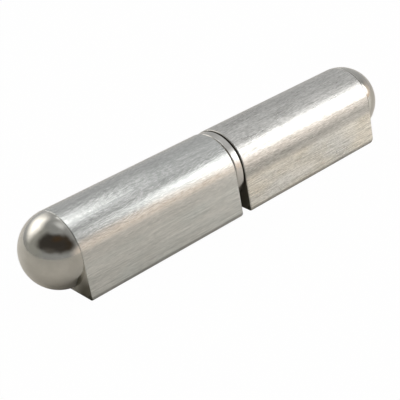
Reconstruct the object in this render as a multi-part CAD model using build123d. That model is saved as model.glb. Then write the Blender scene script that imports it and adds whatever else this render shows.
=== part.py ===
from build123d import *
import math
import os

# A weld-on barrel hinge of stainless steel, lying on one flat of each leaf.
#
# Two leaves are cut from drawn bar with a drop-shaped section: a round barrel whose two flats meet in a
# weld edge. A pin is pressed into one leaf and runs in the bore of the other, which lifts off it. A thrust
# washer lies between the leaves, and a turned cap with a domed head closes the outer end of each bore.
#
# +X runs along the pin, from the leaf that holds it to the leaf that lifts off. +Z is up. The origin is on
# the surface that the leaves lie on, below the centre of the hinge's outline. Sizes are in millimetres.

# Drawn bar, seen along the pin
barrel_radius = 8.0
weld_edge_stand_out = 4.3  # barrel to where the two flats would meet
weld_edge_radius = 0.5

# Leaves
leaf_length = 41.3
leaf_wall = 3.5  # steel round the pin
washer_end_chamfer = 0.15
cap_end_chamfer = 0.06
bore_mouth_chamfer = 0.5

# Ends of each weld edge, rounded by hand, at the washer and at the cap
pin_leaf_washer_corner = 0.6
pin_leaf_cap_corner = 0.3
lift_leaf_washer_corner = 0.4
lift_leaf_cap_corner = 0.9

# Pin
pin_end_chamfer = 1.0
pin_running_clearance = 0.05
pin_end_gap = 3.5  # pin to the plug of a cap, at both ends

# Thrust washer
washer_thickness = 1.95
washer_step = 0.15  # how far its rim lies below the barrel
washer_chamfer = 0.2
washer_pin_clearance = 0.2
washer_seat_gap = 0.15  # to the leaf that holds the pin
washer_play = 0.3  # to the leaf that lifts off

# End caps
dome_sink = 0.5  # centre of the domed head, behind the leaf's end face
dome_rim_chamfer = 0.06
plug_length = 8.0
plug_chamfer = 0.4

# Worked out from the sizes above
weld_edge_reach = barrel_radius + weld_edge_stand_out
flat_half_angle = math.asin(barrel_radius / weld_edge_reach)
pin_radius = barrel_radius - leaf_wall
running_bore_radius = pin_radius + pin_running_clearance
leaf_gap = washer_seat_gap + washer_thickness + washer_play
leaf_face = leaf_gap / 2
cap_face = leaf_face + leaf_length
pin_depth = leaf_length - plug_length - pin_end_gap
weld_edge_front = (
    weld_edge_reach * math.cos(flat_half_angle)
    + weld_edge_radius
    - weld_edge_radius / math.tan(flat_half_angle)
)
pin_axis = Pos(0, (weld_edge_front - barrel_radius) / 2, barrel_radius)


def polar(radius, angle):
    """A point at an angle in radians from the first axis."""
    return (radius * math.cos(angle), radius * math.sin(angle))


def turned(*outline):
    """A solid turned about the pin axis from a closed outline of (x, radius)."""
    return revolve(make_face(outline), Axis.X)


def bar_section():
    """The drop-shaped section round the pin, with its lower flat level."""
    weld_edge = polar(weld_edge_reach, math.pi + flat_half_angle)
    lower_tangent = polar(barrel_radius, -math.pi / 2)
    barrel_back = polar(barrel_radius, flat_half_angle)
    side_tangent = polar(barrel_radius, math.pi / 2 + 2 * flat_half_angle)
    outline = [
        Line(weld_edge, lower_tangent),
        ThreePointArc(lower_tangent, barrel_back, side_tangent),
        Line(side_tangent, weld_edge),
    ]
    section = make_face(outline)
    edge_corner = section.vertices().sort_by_distance(weld_edge)[0]
    return Plane.YZ * fillet(edge_corner, weld_edge_radius)


def corner_dressing(radius):
    """What is ground off to round the end of the weld edge where the end face is at x = 0."""
    tip = weld_edge_reach - weld_edge_radius * (1 / math.sin(flat_half_angle) - 1)
    between_flats = Plane(
        origin=(0, 0, 0),
        x_dir=(1, 0, 0),
        z_dir=(0, math.sin(flat_half_angle), -math.cos(flat_half_angle)),
    )
    waste = weld_edge_stand_out  # any size that reaches past the bar
    size = radius + waste
    block = Pos(radius - size / 2, tip - radius + size / 2) * Rectangle(size, size)
    block -= Pos(radius, tip - radius) * Circle(radius)
    return extrude(between_flats * block, barrel_radius, both=True)


def leaf(bore_radius, washer_corner, cap_corner):
    """A leaf with its washer face at x = 0 and its cap face at x = leaf_length."""
    body = extrude(bar_section(), leaf_length)
    body = chamfer(body.faces().sort_by(Axis.X)[0].edges(), washer_end_chamfer)
    body = chamfer(body.faces().sort_by(Axis.X)[-1].edges(), cap_end_chamfer)
    body -= corner_dressing(washer_corner)
    body -= Pos(leaf_length, 0, 0) * mirror(corner_dressing(cap_corner), Plane.YZ)
    bore = turned(
        Polyline(
            (0, 0),
            (0, bore_radius + bore_mouth_chamfer),
            (bore_mouth_chamfer, bore_radius),
            (leaf_length, bore_radius),
            (leaf_length, 0),
            close=True,
        )
    )
    return body - bore


def cap(plug_radius):
    """A cap whose domed head seats at x = 0, with its plug towards -X."""
    seat_radius = math.sqrt(barrel_radius**2 - dome_sink**2)
    rim_angle = math.acos((dome_sink + dome_rim_chamfer) / barrel_radius)
    rim_x, rim_radius = polar(barrel_radius, rim_angle)
    shoulder_x, shoulder_radius = polar(barrel_radius, rim_angle / 2)
    rim = (rim_x - dome_sink, rim_radius)
    shoulder = (shoulder_x - dome_sink, shoulder_radius)
    crown = (barrel_radius - dome_sink, 0)
    return turned(
        Polyline(
            crown,
            (-plug_length, 0),
            (-plug_length, plug_radius - plug_chamfer),
            (-plug_length + plug_chamfer, plug_radius),
            (0, plug_radius),
            (0, seat_radius - dome_rim_chamfer),
            rim,
        ),
        ThreePointArc(rim, shoulder, crown),
    )


def pin():
    """The pin, as deep in one leaf as in the other."""
    end = leaf_face + pin_depth
    end_radius = pin_radius - pin_end_chamfer
    return turned(
        Polyline(
            (-end, 0),
            (-end, end_radius),
            (-end + pin_end_chamfer, pin_radius),
            (end - pin_end_chamfer, pin_radius),
            (end, end_radius),
            (end, 0),
            close=True,
        )
    )


def washer():
    """The thrust washer, with its outer edges broken."""
    start = -leaf_face + washer_seat_gap
    end = start + washer_thickness
    inner = pin_radius + washer_pin_clearance
    outer = barrel_radius - washer_step
    return turned(
        Polyline(
            (start, inner),
            (start, outer - washer_chamfer),
            (start + washer_chamfer, outer),
            (end - washer_chamfer, outer),
            (end, outer - washer_chamfer),
            (end, inner),
            close=True,
        )
    )


def opposite(piece):
    """The piece on the other side of the washer."""
    return mirror(piece, Plane.YZ)


pieces = {
    "pin_leaf": opposite(
        Pos(leaf_face, 0, 0) * leaf(pin_radius, pin_leaf_washer_corner, pin_leaf_cap_corner)
    ),
    "hinge_pin": pin(),
    "pin_leaf_cap": opposite(Pos(cap_face, 0, 0) * cap(pin_radius)),
    "thrust_washer": washer(),
    "lift_leaf": Pos(leaf_face, 0, 0)
    * leaf(running_bore_radius, lift_leaf_washer_corner, lift_leaf_cap_corner),
    "lift_leaf_cap": Pos(cap_face, 0, 0) * cap(running_bore_radius),
}

os.makedirs("parts", exist_ok=True)
for name, piece in pieces.items():
    export_step(pin_axis * piece, f"parts/{name}.step")
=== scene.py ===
import math

import bmesh
import bpy
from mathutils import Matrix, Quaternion, Vector


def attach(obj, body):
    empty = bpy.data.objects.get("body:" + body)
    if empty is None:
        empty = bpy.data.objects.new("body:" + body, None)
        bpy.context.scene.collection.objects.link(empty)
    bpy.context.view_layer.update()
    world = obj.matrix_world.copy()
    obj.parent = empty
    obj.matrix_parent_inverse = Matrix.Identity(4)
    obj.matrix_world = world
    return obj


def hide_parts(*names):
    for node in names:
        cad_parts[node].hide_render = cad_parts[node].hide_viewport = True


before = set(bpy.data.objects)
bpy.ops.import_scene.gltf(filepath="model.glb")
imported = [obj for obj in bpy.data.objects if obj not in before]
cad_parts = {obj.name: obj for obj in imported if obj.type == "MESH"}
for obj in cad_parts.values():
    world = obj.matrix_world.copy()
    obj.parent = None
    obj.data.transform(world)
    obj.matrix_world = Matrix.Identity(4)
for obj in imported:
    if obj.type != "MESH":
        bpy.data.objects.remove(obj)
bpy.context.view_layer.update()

MM = 0.001

# Lines along the hinge, as (Y, Z) in mm
PIN_AXIS = (0.629, 8.0)
WELD_EDGE = (-8.129, 0.5)  # centre of the rounded edge where the two flats meet
FLAT_TOP = (-7.38, 8.56)  # just below where the side flat runs into the barrel

# Sizes of the pieces, in mm
BARREL_RADIUS = 8.0
LEAF_END = 42.5
PIN_RADIUS = 4.5
RUNNING_BORE_RADIUS = 4.55
PIN_END = 31.0
PIN_END_ROUNDING = 1.0
DOME_SINK = 0.5
DOME_RIM_CHAMFER = 0.06
CROWN_GAP = 0.0002  # keeps the crown of a dome inside the solid's
PLUG_LENGTH = 8.0
PLUG_ROUNDING = 0.4
WASHER_START, WASHER_END = -1.05, 0.9
WASHER_INNER, WASHER_OUTER = 4.7, 7.85
WASHER_START_ROUNDING, WASHER_END_ROUNDING = 0.3, 0.2

# How the turned pieces are turned
STEPS_ROUND = 128
STEPS_IN_A_CORNER = 32
GUIDE_RADIUS = 1.0  # mm, of the circle that an outline is swept round
MERGE_DISTANCE = 0.0005  # mm
SHARP_EDGE = 25  # degrees between two faces

# Finish of the drawn bar
BARREL_FADE = 0.35  # mm in which the barrel's finish turns into the flats'
SHORT_GRAIN_SHARE = 0.5  # of the flats' grain
DRAWING_LINE_SHARE = 0.35  # of the barrel's tone, where scratches give the rest
CLOUD_SHARE = 0.16  # of the tone everywhere
# Colour of the painted shade on the weld edge and on the flats beside the barrel
PAINTED_SHADE_COLOUR = "#41443a"
EDGE_SHADE_SHARE = 0.5
LEAST_STRIP = 0.4  # of the painted shade on the flats beside the barrel, in the lightest clouds
BAR_ROUGHNESS_SPREAD = 0.04
SAWN_ROUGHNESS = 0.62
CALM_FROST = 0.3  # of the frost's depth is left beside the flats
EDGE_SOFTNESS = 0.2  # mm in which the shading goes round an edge

# Finish of the turned pieces
TURNED_ROUGHNESS_SPREAD = 0.03
POLISHING_WAVES = 0.025  # mm deep

# White table
TABLE_REACH = 4.0  # m to each side
TABLE_DROP = 0.05  # mm below the hinge, so that no faces coincide
TABLE_WHITE = 0.985  # share of plain white that the camera sees. The rest keeps the shadow.
TABLE_IN_METAL = 0.04  # share of that white that metal shows

# Camera, as the photograph was taken
VIEW_AZIMUTH = -42.42  # degrees, 0 looks along +Y
VIEW_ELEVATION = 29.45
VIEW_ROLL = -4.15
VIEW_DISTANCE = 242.6 * MM
AIM_POINT = Vector((-5.02, 0.405, 2.3)) * MM
LENS = 102.8  # mm, on a 36 mm sensor

# Inputs of a mix node, by number
SHARE, NUMBER_A, NUMBER_B, COLOUR_A, COLOUR_B = 0, 2, 3, 6, 7


def linear_colour(srgb_hex):
    """An sRGB hex colour as the linear colour that shaders work in."""
    channels = [int(srgb_hex[i : i + 2], 16) / 255 for i in (1, 3, 5)]
    linear = [c / 12.92 if c <= 0.04045 else ((c + 0.055) / 1.055) ** 2.4 for c in channels]
    return (*linear, 1.0)


def add_node(tree, kind, inputs=(), **settings):
    """Adds a node. An input, by name or number, is a plain value, a socket, or a node, which stands for its
    first enabled output."""
    node = tree.nodes.new(kind)
    for name, value in settings.items():
        setattr(node, name, value)
    for name, value in dict(inputs).items():
        if isinstance(value, bpy.types.Node):
            value = next(output for output in value.outputs if output.enabled)
        if isinstance(value, bpy.types.NodeSocket):
            tree.links.new(value, node.inputs[name])
        else:
            node.inputs[name].default_value = value
    return node


def new_material(name):
    """An empty node material, with its tree."""
    material = bpy.data.materials.new(name)
    material.use_nodes = True
    material.node_tree.nodes.clear()
    return material, material.node_tree


def streaks(tree, along, across, detail=3.0, offset=0.0):
    """Noise in features along mm long by X and across mm wide by Y and Z."""
    place = add_node(tree, "ShaderNodeTexCoord").outputs["Object"]
    scale = (1 / (along * MM), 1 / (across * MM), 1 / (across * MM))
    stretched = add_node(
        tree, "ShaderNodeMapping", {"Vector": place, "Scale": scale, "Location": (offset, 0.0, 0.0)}
    )
    return add_node(
        tree, "ShaderNodeTexNoise", {"Vector": stretched, "Scale": 1.0, "Detail": detail, "Roughness": 0.6}
    )


def near_line(tree, line, inner, outer):
    """1 within inner mm of a line along the hinge, fading to 0 at outer mm."""
    place = add_node(tree, "ShaderNodeTexCoord").outputs["Object"]
    start = Vector((0.0, *line)) * MM
    offset = add_node(tree, "ShaderNodeVectorMath", {0: place, 1: start}, operation="SUBTRACT")
    section = add_node(tree, "ShaderNodeVectorMath", {0: offset, 1: (0.0, 1.0, 1.0)}, operation="MULTIPLY")
    distance = add_node(tree, "ShaderNodeVectorMath", {0: section}, operation="LENGTH").outputs["Value"]
    return add_node(
        tree,
        "ShaderNodeMapRange",
        {"Value": distance, "From Min": outer * MM, "From Max": inner * MM},
        interpolation_type="SMOOTHSTEP",
    )


def end_faces(tree):
    """1 on the faces that are square to the pin, and 0 elsewhere."""
    normal = add_node(tree, "ShaderNodeTexCoord").outputs["Normal"]
    along = add_node(tree, "ShaderNodeSeparateXYZ", {"Vector": normal}).outputs["X"]
    facing = add_node(tree, "ShaderNodeMath", {0: along}, operation="ABSOLUTE")
    return add_node(tree, "ShaderNodeMapRange", {"Value": facing, "From Min": 0.8, "From Max": 0.9})


def uneven_roughness(tree, pattern, roughness, spread):
    """A roughness that goes up and down by spread with a pattern of noise."""
    return add_node(
        tree,
        "ShaderNodeMapRange",
        {
            "Value": pattern,
            "From Min": 0.3,
            "From Max": 0.7,
            "To Min": roughness - spread,
            "To Max": roughness + spread,
        },
    )


def drawn_stainless(name, light, dark, barrel_tint, flats, sawn, roughness, grain, depths, strip):
    """Drawn stainless bar, belt-dressed on its flats and sawn off at its ends.

    The barrel has long drawing lines, which fray the edges of a highlight, and a frost of short scratches,
    which makes it sparkle. The frost is shallower beside the flats. The flats have fine straight grain, and
    stains shift their tint between the two in flats. Beside the barrel they are darkened by painted shade, in
    clouds, by up to strip. The sawn ends are plain and dull, and their colour, which holds painted shade,
    goes from the first colour in sawn by the barrel to the second at the weld edge. The weld edge itself is
    darkened by painted shade.

    grain is the length and the width of the flats' grain, and depths are those of the drawing lines, the
    frost and the grain, all in mm. Real lines and grain are 0.05 to 0.2 mm wide. They are drawn at the coarse
    end of that, and the drawing lines a little wider, so that they show."""
    grain_length, grain_width = grain
    line_depth, frost_depth, grain_depth = depths
    material, tree = new_material(name)

    # Places
    barrel = near_line(tree, PIN_AXIS, inner=BARREL_RADIUS, outer=BARREL_RADIUS + BARREL_FADE)
    ends = end_faces(tree)
    # Where painted shade darkens the weld edge
    edge = near_line(tree, WELD_EDGE, inner=0.5, outer=0.68)
    by_the_edge = near_line(tree, WELD_EDGE, inner=2.0, outer=5.5)
    by_the_flats = near_line(tree, WELD_EDGE, inner=13.0, outer=15.5)
    by_the_barrel = near_line(tree, FLAT_TOP, inner=0.1, outer=2.0)

    # Patterns
    drawing_lines = streaks(tree, along=20.0, across=0.3, detail=2.0, offset=3.0)
    scratches = streaks(tree, along=1.2, across=0.12, detail=1.0, offset=14.0)
    long_grain = streaks(tree, along=grain_length, across=grain_width, detail=1.0)
    short_grain = streaks(tree, along=grain_length / 6, across=grain_width * 0.7, detail=1.0, offset=21.0)
    clouds = streaks(tree, along=7.0, across=2.5, offset=9.0)
    stains = streaks(tree, along=14.0, across=5.0, detail=1.0, offset=30.0)
    dressed = add_node(
        tree,
        "ShaderNodeMix",
        {SHARE: SHORT_GRAIN_SHARE, NUMBER_A: long_grain, NUMBER_B: short_grain},
        data_type="FLOAT",
    )
    drawn = add_node(
        tree,
        "ShaderNodeMix",
        {SHARE: DRAWING_LINE_SHARE, NUMBER_A: scratches, NUMBER_B: drawing_lines},
        data_type="FLOAT",
    )

    # Colour of the barrel and the flats
    lines = add_node(
        tree, "ShaderNodeMix", {SHARE: barrel, NUMBER_A: dressed, NUMBER_B: drawn}, data_type="FLOAT"
    )
    uneven = add_node(
        tree, "ShaderNodeMix", {SHARE: CLOUD_SHARE, NUMBER_A: lines, NUMBER_B: clouds}, data_type="FLOAT"
    )
    tone = add_node(tree, "ShaderNodeMapRange", {"Value": uneven, "From Min": 0.36, "From Max": 0.64})
    bar = add_node(
        tree,
        "ShaderNodeMix",
        {SHARE: tone, COLOUR_A: linear_colour(dark), COLOUR_B: linear_colour(light)},
        data_type="RGBA",
    )
    stained = add_node(tree, "ShaderNodeMapRange", {"Value": stains, "From Min": 0.38, "From Max": 0.62})
    flat_tint = add_node(
        tree,
        "ShaderNodeMix",
        {SHARE: stained, COLOUR_A: linear_colour(flats[0]), COLOUR_B: linear_colour(flats[1])},
        data_type="RGBA",
    )
    tint = add_node(
        tree,
        "ShaderNodeMix",
        {SHARE: barrel, COLOUR_A: flat_tint, COLOUR_B: linear_colour(barrel_tint)},
        data_type="RGBA",
    )
    tinted = add_node(
        tree,
        "ShaderNodeMix",
        {SHARE: 1.0, COLOUR_A: bar, COLOUR_B: tint},
        data_type="RGBA",
        blend_type="MULTIPLY",
    )

    # Colour of the sawn ends, which holds painted shade, and the painted shade on the weld edge and on the
    # flats beside the barrel
    # The sawn ends' colour, with painted shade mixed into it
    shaded_sawn_face = add_node(
        tree,
        "ShaderNodeMix",
        {SHARE: by_the_edge, COLOUR_A: linear_colour(sawn[0]), COLOUR_B: linear_colour(sawn[1])},
        data_type="RGBA",
    )
    metal = add_node(
        tree, "ShaderNodeMix", {SHARE: ends, COLOUR_A: tinted, COLOUR_B: shaded_sawn_face}, data_type="RGBA"
    )
    # Painted shade along the weld edge
    edge_shade = add_node(tree, "ShaderNodeMath", {0: edge, 1: EDGE_SHADE_SHARE}, operation="MULTIPLY")
    # Painted shade on the flats beside the barrel, deeper in some clouds than in others
    cloudy_strip = add_node(
        tree,
        "ShaderNodeMapRange",
        {
            "Value": clouds,
            "From Min": 0.35,
            "From Max": 0.6,
            "To Min": LEAST_STRIP * strip,
            "To Max": strip,
        },
    )
    strip_shade = add_node(tree, "ShaderNodeMath", {0: by_the_barrel, 1: cloudy_strip}, operation="MULTIPLY")
    painted_shade = add_node(tree, "ShaderNodeMath", {0: edge_shade, 1: strip_shade}, operation="MAXIMUM")
    # The bar's colour with its painted shade
    metal_with_painted_shade = add_node(
        tree,
        "ShaderNodeMix",
        {SHARE: painted_shade, COLOUR_A: metal, COLOUR_B: linear_colour(PAINTED_SHADE_COLOUR)},
        data_type="RGBA",
    )

    # Roughness
    cloudy = uneven_roughness(tree, clouds, roughness, BAR_ROUGHNESS_SPREAD)
    rough = add_node(
        tree, "ShaderNodeMix", {SHARE: ends, NUMBER_A: cloudy, NUMBER_B: SAWN_ROUGHNESS}, data_type="FLOAT"
    )

    # Relief
    frost = add_node(tree, "ShaderNodeMapRange", {"Value": scratches, "From Min": 0.48, "From Max": 0.66})
    frost_relief = add_node(
        tree,
        "ShaderNodeMapRange",
        {"Value": by_the_flats, "To Min": frost_depth, "To Max": CALM_FROST * frost_depth},
    )
    frost_height = add_node(tree, "ShaderNodeMath", {0: frost, 1: frost_relief}, operation="MULTIPLY")
    barrel_height = add_node(
        tree,
        "ShaderNodeMath",
        {0: drawing_lines, 1: line_depth, 2: frost_height},
        operation="MULTIPLY_ADD",
    )
    flat_height = add_node(tree, "ShaderNodeMath", {0: dressed, 1: grain_depth}, operation="MULTIPLY")
    height = add_node(
        tree,
        "ShaderNodeMix",
        {SHARE: barrel, NUMBER_A: flat_height, NUMBER_B: barrel_height},
        data_type="FLOAT",
    )
    off_the_ends = add_node(tree, "ShaderNodeMath", {0: 1.0, 1: ends}, operation="SUBTRACT")
    soft_edges = add_node(tree, "ShaderNodeBevel", {"Radius": EDGE_SOFTNESS * MM}, samples=4)
    grooves = add_node(
        tree,
        "ShaderNodeBump",
        {"Height": height, "Strength": off_the_ends, "Distance": MM, "Normal": soft_edges},
    )

    across_grain = add_node(tree, "ShaderNodeTangent", direction_type="RADIAL", axis="X")
    shader = add_node(
        tree,
        "ShaderNodeBsdfPrincipled",
        {
            "Base Color": metal_with_painted_shade,
            "Metallic": 1.0,
            "Roughness": rough,
            "Anisotropic": 0.5,
            "Tangent": across_grain,
            "Normal": grooves,
        },
    )
    add_node(tree, "ShaderNodeOutputMaterial", {"Surface": shader})
    return material


def turned_stainless(name, light, dark, roughness, tool_marks):
    """Stainless steel turned in a lathe and polished: soft mirror images, slightly uneven where the polishing
    ran. The tool marks run round the pin axis, and their depth is in mm."""
    material, tree = new_material(name)
    smears = streaks(tree, along=3.0, across=3.0)
    tool_lines = streaks(tree, along=0.2, across=4.0, detail=2.0, offset=5.0)
    metal = add_node(
        tree,
        "ShaderNodeMix",
        {SHARE: smears, COLOUR_A: linear_colour(dark), COLOUR_B: linear_colour(light)},
        data_type="RGBA",
    )
    rough = uneven_roughness(tree, smears, roughness, TURNED_ROUGHNESS_SPREAD)
    waves = add_node(
        tree, "ShaderNodeBump", {"Height": smears, "Strength": 1.0, "Distance": POLISHING_WAVES * MM}
    )
    marks = add_node(
        tree,
        "ShaderNodeBump",
        {"Height": tool_lines, "Strength": 1.0, "Distance": tool_marks * MM, "Normal": waves},
    )
    shader = add_node(
        tree,
        "ShaderNodeBsdfPrincipled",
        {"Base Color": metal, "Metallic": 1.0, "Roughness": rough, "Normal": marks},
    )
    add_node(tree, "ShaderNodeOutputMaterial", {"Surface": shader})
    return material


def seen_white(tree, in_metal):
    """1 for what the camera sees, and in_metal for what a reflection or a refraction shows."""
    rays = add_node(tree, "ShaderNodeLightPath")
    mirrored = add_node(
        tree,
        "ShaderNodeMath",
        {0: rays.outputs["Is Glossy Ray"], 1: rays.outputs["Is Transmission Ray"]},
        operation="MAXIMUM",
    )
    weaker = add_node(tree, "ShaderNodeMath", {0: mirrored, 1: in_metal}, operation="MULTIPLY")
    return add_node(
        tree, "ShaderNodeMath", {0: rays.outputs["Is Camera Ray"], 1: weaker}, operation="MAXIMUM"
    )


def white_table():
    """A pale, slightly glossy table that the hinge lies on. It looks white, and keeps the hinge's shadow."""
    corners = [(x * TABLE_REACH, y * TABLE_REACH, 0) for x, y in ((-1, -1), (1, -1), (1, 1), (-1, 1))]
    mesh = bpy.data.meshes.new("table_top")
    mesh.from_pydata(corners, [], [(0, 1, 2, 3)])
    table = bpy.data.objects.new("table_top", mesh)
    table.location.z = -TABLE_DROP * MM
    bpy.context.scene.collection.objects.link(table)
    material, tree = new_material("white table")
    paint = add_node(
        tree,
        "ShaderNodeBsdfPrincipled",
        {"Base Color": linear_colour("#fbf6ee"), "Roughness": 0.4, "IOR": 1.7},
    )
    white = add_node(tree, "ShaderNodeEmission", {"Color": (1, 1, 1, 1), "Strength": 1.0})
    share = add_node(
        tree, "ShaderNodeMath", {0: seen_white(tree, TABLE_IN_METAL), 1: TABLE_WHITE}, operation="MULTIPLY"
    )
    look = add_node(tree, "ShaderNodeMixShader", {0: share, 1: paint, 2: white})
    add_node(tree, "ShaderNodeOutputMaterial", {"Surface": look})
    mesh.materials.append(material)


def room_patch(tree, bearing, elevation, width, height, blur, ragged):
    """1 inside a patch of the room with round corners and 0 outside it. The bearing goes from +X towards +Y,
    and the first four are in degrees. The blur of its outline and how ragged it is are shares of its size."""
    direction = add_node(tree, "ShaderNodeTexCoord").outputs["Generated"]
    turned = add_node(
        tree,
        "ShaderNodeVectorRotate",
        {"Vector": direction, "Angle": -math.radians(bearing)},
        rotation_type="Z_AXIS",
    )
    parts = add_node(tree, "ShaderNodeSeparateXYZ", {"Vector": turned})
    aside = add_node(
        tree, "ShaderNodeMath", {0: parts.outputs["Y"], 1: parts.outputs["X"]}, operation="ARCTAN2"
    )
    above = add_node(tree, "ShaderNodeMath", {0: parts.outputs["Z"]}, operation="ARCSINE")
    raised = add_node(tree, "ShaderNodeMath", {0: above, 1: math.radians(elevation)}, operation="SUBTRACT")
    across = add_node(tree, "ShaderNodeMath", {0: aside, 1: math.radians(width / 2)}, operation="DIVIDE")
    up = add_node(tree, "ShaderNodeMath", {0: raised, 1: math.radians(height / 2)}, operation="DIVIDE")
    offset = add_node(tree, "ShaderNodeCombineXYZ", {"X": across, "Y": up})
    squares = add_node(tree, "ShaderNodeVectorMath", {0: offset, 1: offset}, operation="MULTIPLY")
    fourth = add_node(tree, "ShaderNodeVectorMath", {0: squares}, operation="LENGTH").outputs["Value"]
    even = add_node(tree, "ShaderNodeMath", {0: fourth}, operation="SQRT")
    wander = add_node(tree, "ShaderNodeTexNoise", {"Vector": direction, "Scale": 5.0, "Detail": 2.0})
    distance = add_node(tree, "ShaderNodeMath", {0: wander, 1: ragged, 2: even}, operation="MULTIPLY_ADD")
    return add_node(
        tree,
        "ShaderNodeMapRange",
        {"Value": distance, "From Min": 1 + blur, "From Max": 1 - blur},
        interpolation_type="SMOOTHSTEP",
    )


def room():
    """A pale room with soft lamps, dark on the side where the camera stands, so that the polished caps have
    something dark to show. Seen directly it is white."""
    world = bpy.data.worlds.new("room")
    bpy.context.scene.world = world
    world.use_nodes = True
    tree = world.node_tree
    tree.nodes.clear()
    light = (0.403, 0.403, 0.398, 1.0)  # walls and ceiling
    # Each patch lies over the ones before it
    patches = (
        # bearing, elevation, width, height, blur, ragged, brightness, tint
        (57, 3, 96, 60, 0.5, 0, 0.585, "#ffffff"),  # back wall
        (-45, -2, 80, 36, 0.5, 0, 1.06, "#fff0e3"),  # table's far edge, under the front window
        (150, 30, 60, 70, 0.5, 0, 0.42, "#fffdf4"),  # left wall
        (10, 50, 92, 36, 0.5, 0, 0.67, "#ffffff"),  # roof above the lamps
        (5, 79, 110, 14, 0.8, 0, 0.95, "#ffffff"),  # lamp in the ceiling
        (-107, 40, 74, 55, 0.3, 0.25, 0.06, "#ffe2c0"),  # dark side, up to the front window
        (-152, 44, 118, 56, 0.22, 0.25, 0.055, "#fff0e0"),  # dark side
        (-128, 57, 40, 14, 0.8, 0, 0.085, "#ffd0a0"),  # wooden shelf in the dark side
        (-155, 23, 28, 12, 0.8, 0, 0.13, "#fff4e6"),  # bench in the dark side
        (101, 35, 48, 34, 0.7, 0, 2.4, "#fffaf4"),  # back window
        (-38, 11, 38, 24, 0.5, 0, 1.17, "#ffe7d2"),  # warm glow under the front window
        (-35, 23.5, 27.5, 28, 0.42, 0, 3.6, "#ffffff"),  # front window
    )
    for bearing, elevation, width, height, blur, ragged, brightness, tint in patches:
        inside = room_patch(tree, bearing, elevation, width, height, blur, ragged)
        shine = (*(brightness * channel for channel in linear_colour(tint)[:3]), 1.0)
        light = add_node(
            tree, "ShaderNodeMix", {SHARE: inside, COLOUR_A: light, COLOUR_B: shine}, data_type="RGBA"
        )
    room_light = add_node(tree, "ShaderNodeBackground", {"Color": light, "Strength": 1.0})
    white = add_node(tree, "ShaderNodeBackground", {"Color": (1, 1, 1, 1), "Strength": 1.0})
    look = add_node(
        tree, "ShaderNodeMixShader", {0: seen_white(tree, in_metal=0.0), 1: room_light, 2: white}
    )
    add_node(tree, "ShaderNodeOutputWorld", {"Surface": look})


def softbox(name, place, aim, width, height, brightness, blur):
    """A soft lamp at a place in mm, brightest in the middle. Its brightness is what a mirror shows of it,
    where 1 is white. The blur of its edges is a share of its size."""
    half_width, half_height = width / 2 * (1 + blur) * MM, height / 2 * (1 + blur) * MM
    facing = (Vector(aim) - Vector(place)).normalized().to_track_quat("-Z", "Y")
    corners = [
        facing @ Vector((x * half_width, y * half_height, 0)) + Vector(place) * MM
        for x, y in ((-1, -1), (1, -1), (1, 1), (-1, 1))
    ]
    mesh = bpy.data.meshes.new(name)
    mesh.from_pydata(corners, [], [(3, 2, 1, 0)])
    diffuser = mesh.uv_layers.new(name="diffuser")
    for corner, point in zip(diffuser.data, ((-1, 1), (1, 1), (1, -1), (-1, -1))):
        corner.uv = [value * (1 + blur) for value in point]
    box = bpy.data.objects.new(name, mesh)
    box.visible_camera = False
    bpy.context.scene.collection.objects.link(box)
    material, tree = new_material(name)
    place_on_diffuser = add_node(tree, "ShaderNodeUVMap", uv_map="diffuser")
    distance = add_node(
        tree, "ShaderNodeVectorMath", {0: place_on_diffuser}, operation="LENGTH"
    ).outputs["Value"]
    glow = add_node(
        tree,
        "ShaderNodeMapRange",
        {"Value": distance, "From Min": 1 + blur, "From Max": 1 - blur, "To Max": brightness},
        interpolation_type="SMOOTHSTEP",
    )
    lamp = add_node(tree, "ShaderNodeEmission", {"Color": (1, 1, 1, 1), "Strength": glow})
    clear = add_node(tree, "ShaderNodeBsdfTransparent")
    clear_edged = add_node(tree, "ShaderNodeAddShader", {0: lamp, 1: clear})
    add_node(tree, "ShaderNodeOutputMaterial", {"Surface": clear_edged})
    mesh.materials.append(material)


def camera():
    """The camera at the photograph's place."""
    data = bpy.data.cameras.new("camera")
    data.lens = LENS
    data.clip_start = 10 * MM
    camera_object = bpy.data.objects.new("camera", data)
    azimuth, elevation = math.radians(VIEW_AZIMUTH), math.radians(VIEW_ELEVATION)
    back = Vector(
        (
            math.sin(azimuth) * math.cos(elevation),
            -math.cos(azimuth) * math.cos(elevation),
            math.sin(elevation),
        )
    )
    camera_object.location = AIM_POINT + back * VIEW_DISTANCE
    level = (-back).to_track_quat("-Z", "Y")
    camera_object.rotation_mode = "QUATERNION"
    camera_object.rotation_quaternion = level @ Quaternion((0, 0, 1), math.radians(VIEW_ROLL))
    bpy.context.scene.collection.objects.link(camera_object)
    bpy.context.scene.camera = camera_object


def give(node, material):
    """Gives a leaf its finish."""
    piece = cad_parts[node]
    piece.data.materials.clear()
    piece.data.materials.append(material)


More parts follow.
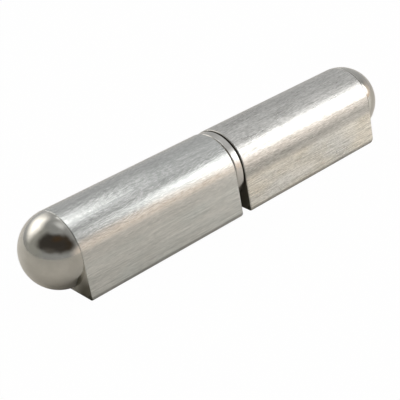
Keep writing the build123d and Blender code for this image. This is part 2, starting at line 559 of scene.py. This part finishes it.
def lathe_nodes():
    """Geometry nodes that turn a piece about the pin axis. The outline is a line of points at (radius less
    the guide's, distance along the pin), and each point's rounding is the radius of its rounded corner."""
    tree = bpy.data.node_groups.new("turned about the pin", "GeometryNodeTree")
    tree.interface.new_socket("Outline", in_out="INPUT", socket_type="NodeSocketGeometry")
    for name, kind in (
        ("Steps Round", "NodeSocketInt"),
        ("Steps In A Corner", "NodeSocketInt"),
        ("Pin Axis", "NodeSocketVector"),
        ("Finish", "NodeSocketMaterial"),
    ):
        tree.interface.new_socket(name, in_out="INPUT", socket_type=kind)
    tree.interface.new_socket("Piece", in_out="OUTPUT", socket_type="NodeSocketGeometry")
    given = add_node(tree, "NodeGroupInput").outputs
    outline = add_node(tree, "GeometryNodeMeshToCurve", {"Mesh": given["Outline"]})
    rounding = add_node(tree, "GeometryNodeInputNamedAttribute", {"Name": "rounding"}, data_type="FLOAT")
    rounded = add_node(
        tree,
        "GeometryNodeFilletCurve",
        {"Curve": outline, "Radius": rounding, "Count": given["Steps In A Corner"]},
        mode="POLY",
    )
    guide = add_node(
        tree,
        "GeometryNodeCurvePrimitiveCircle",
        {"Radius": GUIDE_RADIUS * MM, "Resolution": given["Steps Round"]},
    )
    swept = add_node(tree, "GeometryNodeCurveToMesh", {"Curve": guide, "Profile Curve": rounded})
    closed = add_node(
        tree, "GeometryNodeMergeByDistance", {"Geometry": swept, "Distance": MERGE_DISTANCE * MM}
    )
    laid = add_node(
        tree,
        "GeometryNodeTransform",
        {"Geometry": closed, "Translation": given["Pin Axis"], "Rotation": (0.0, -math.pi / 2, 0.0)},
    )
    real = add_node(tree, "GeometryNodeRealizeInstances", {"Geometry": laid})
    finished = add_node(tree, "GeometryNodeSetMaterial", {"Geometry": real, "Material": given["Finish"]})
    add_node(tree, "NodeGroupOutput", {"Piece": finished})
    return tree


def turned_piece(lathe, node, body, finish, outline, ring=False):
    """Turns a piece from its outline of (distance along the pin, radius, rounding) in mm, and shows it in
    place of its node. A ring's outline is closed."""
    mesh = bpy.data.meshes.new(node + "_outline")
    points = [((radius - GUIDE_RADIUS) * MM, along * MM, 0) for along, radius, _ in outline]
    edges = [(i, (i + 1) % len(points)) for i in range(len(points) if ring else len(points) - 1)]
    mesh.from_pydata(points, edges, [])
    rounding = mesh.attributes.new("rounding", "FLOAT", "POINT")
    for corner, (_, _, radius) in zip(rounding.data, outline):
        corner.value = radius * MM
    blank = bpy.data.objects.new(node + "_outline", mesh)
    bpy.context.scene.collection.objects.link(blank)
    modifier = blank.modifiers.new("turning", "NODES")
    modifier.node_group = lathe
    inputs = {
        "Steps Round": STEPS_ROUND,
        "Steps In A Corner": STEPS_IN_A_CORNER,
        "Pin Axis": Vector((0.0, *PIN_AXIS)) * MM,
        "Finish": finish,
    }
    for socket in lathe.interface.items_tree:
        if socket.name in inputs:
            modifier[socket.identifier] = inputs[socket.name]
    shape = bpy.data.meshes.new_from_object(blank.evaluated_get(bpy.context.evaluated_depsgraph_get()))
    bpy.data.objects.remove(blank)
    faces = bmesh.new()
    faces.from_mesh(shape)
    bmesh.ops.recalc_face_normals(faces, faces=faces.faces)
    faces.to_mesh(shape)
    faces.free()
    shape.shade_smooth()
    shape.set_sharp_from_angle(angle=math.radians(SHARP_EDGE))
    piece = bpy.data.objects.new(node + "_turned", shape)
    bpy.context.scene.collection.objects.link(piece)
    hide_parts(node)
    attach(piece, body)


def cap_outline(side, plug_radius):
    """A cap's outline, from the crown of its dome to the end of its plug. side is 1 or -1 along X."""
    half_dome = math.acos((DOME_SINK + DOME_RIM_CHAMFER) / BARREL_RADIUS) / 2
    rim_radius = BARREL_RADIUS * math.sin(2 * half_dome)
    crown = BARREL_RADIUS - DOME_SINK - CROWN_GAP
    outline = (
        (crown, 0.0, 0.0),
        (crown, BARREL_RADIUS * math.tan(half_dome), BARREL_RADIUS),
        (DOME_RIM_CHAMFER, rim_radius, 0.0),
        (0.0, rim_radius - DOME_RIM_CHAMFER, 0.0),
        (0.0, plug_radius, 0.0),
        (-PLUG_LENGTH, plug_radius, PLUG_ROUNDING),
        (-PLUG_LENGTH, 0.0, 0.0),
    )
    return [(side * (LEAF_END + along), radius, rounding) for along, radius, rounding in outline]


camera()
room()
white_table()
softbox(
    "roof_light", place=(82, 24, 260), aim=(-46, 0, 8), width=160, height=38, brightness=3.0, blur=0.7
)

near_bar = drawn_stainless(
    "drawn stainless bar, near leaf",
    light="#dcdede",
    dark="#b8bbbb",
    barrel_tint="#f9f8f5",
    flats=("#fafdfb", "#fffffc"),
    # sawn ends with painted shade: light by the barrel, darker towards the weld edge and the table
    sawn=("#eeece5", "#8a877c"),
    roughness=0.22,
    grain=(9.0, 0.19),
    depths=(0.0065, 0.0095, 0.03),
    strip=0.0,
)
far_bar = drawn_stainless(
    "drawn stainless bar, far leaf",
    light="#f4f2ed",
    dark="#b0afa9",
    barrel_tint="#eff0f2",
    flats=("#fafdff", "#fffdf7"),
    # sawn ends darkened by painted shade, so that the gap at the washer looks dark
    sawn=("#7d7a70", "#8a877c"),
    roughness=0.3,
    grain=(5.0, 0.15),
    depths=(0.009, 0.0115, 0.054),
    # painted shade on the flats beside the barrel
    strip=0.38,
)
give("pin_leaf", near_bar)
give("lift_leaf", far_bar)

lathe = lathe_nodes()
dome_steel = turned_stainless("turned and polished stainless cap", "#d3d2cd", "#b0afa8", 0.13, 0.003)
turned_piece(lathe, "pin_leaf_cap", "pin_side", dome_steel, cap_outline(-1, PIN_RADIUS))
turned_piece(
    lathe, "lift_leaf_cap", "lift_side", dome_steel, cap_outline(1, RUNNING_BORE_RADIUS)
)
turned_piece(
    lathe,
    "thrust_washer",
    "washer",
    turned_stainless("fine turned stainless washer", "#cfcecb", "#bdbbb6", 0.24, 0.006),
    [
        (WASHER_START, WASHER_INNER, 0.0),
        (WASHER_START, WASHER_OUTER, WASHER_START_ROUNDING),
        (WASHER_END, WASHER_OUTER, WASHER_END_ROUNDING),
        (WASHER_END, WASHER_INNER, 0.0),
    ],
    ring=True,
)
turned_piece(
    lathe,
    "hinge_pin",
    "pin_side",
    turned_stainless("ground stainless pin", "#c0beb9", "#b0aea8", 0.2, 0.002),
    [
        (-PIN_END, 0.0, 0.0),
        (-PIN_END, PIN_RADIUS, PIN_END_ROUNDING),
        (PIN_END, PIN_RADIUS, PIN_END_ROUNDING),
        (PIN_END, 0.0, 0.0),
    ],
)

bpy.context.scene.view_settings.view_transform = "Standard"
